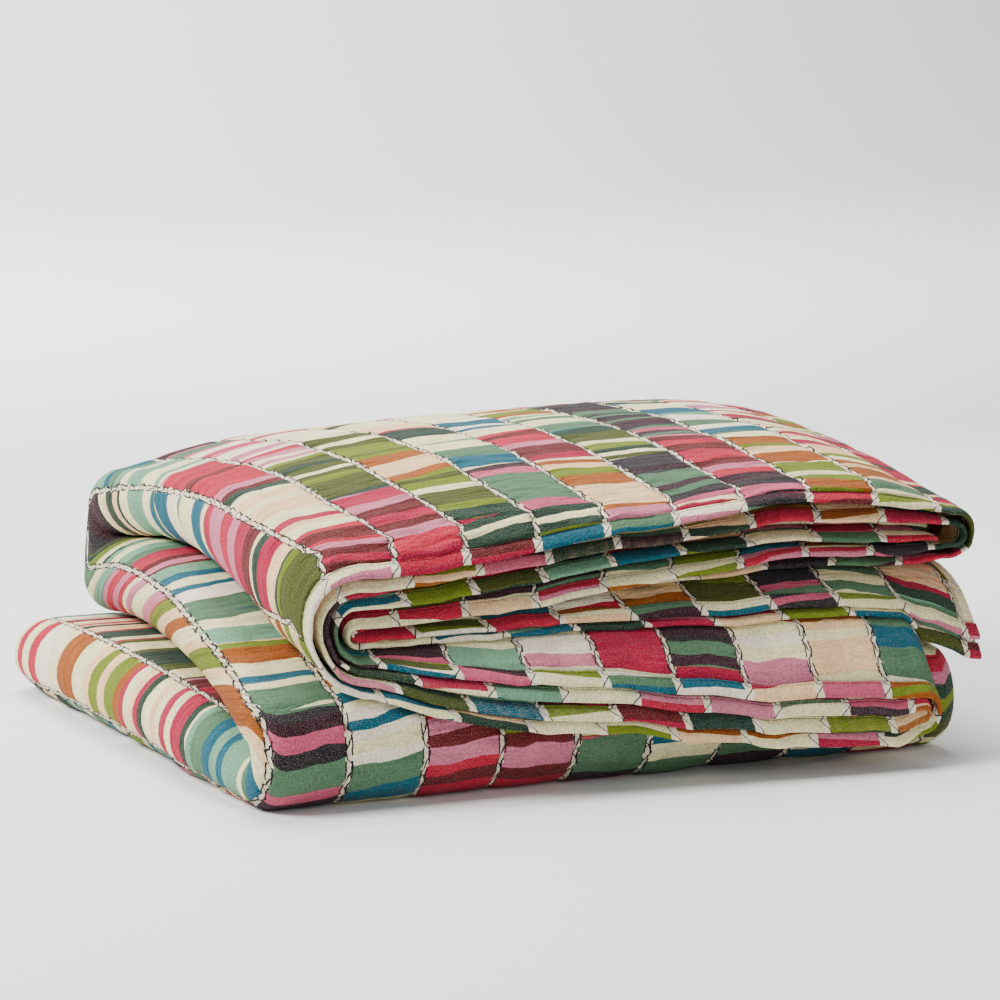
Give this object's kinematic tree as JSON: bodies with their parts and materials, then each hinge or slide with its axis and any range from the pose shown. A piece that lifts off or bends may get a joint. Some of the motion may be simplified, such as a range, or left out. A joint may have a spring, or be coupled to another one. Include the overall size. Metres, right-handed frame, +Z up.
{
  "type": "coverlet",
  "caption": "Light quilted coverlet with a narrow bound edge, folded in soft layers and laid flat as on a shelf or bed.",
  "frame": {"origin": "centre of the folded coverlet's footprint, on the surface it lies on", "axes": "+X right along the front, where the bound edges show; +Y towards the back; +Z up"},
  "size_m": [0.4849, 0.4714, 0.1813],
  "materials": {
    "cotton": "matte quilted cotton in a cream, pink, green and blue patchwork of small blocks",
    "binding_cotton": "matte cotton strip in the same colours"
  },
  "bodies": {
    "root": {"cloth": "cotton", "binding": "binding_cotton"}
  },
  "joints": []
}
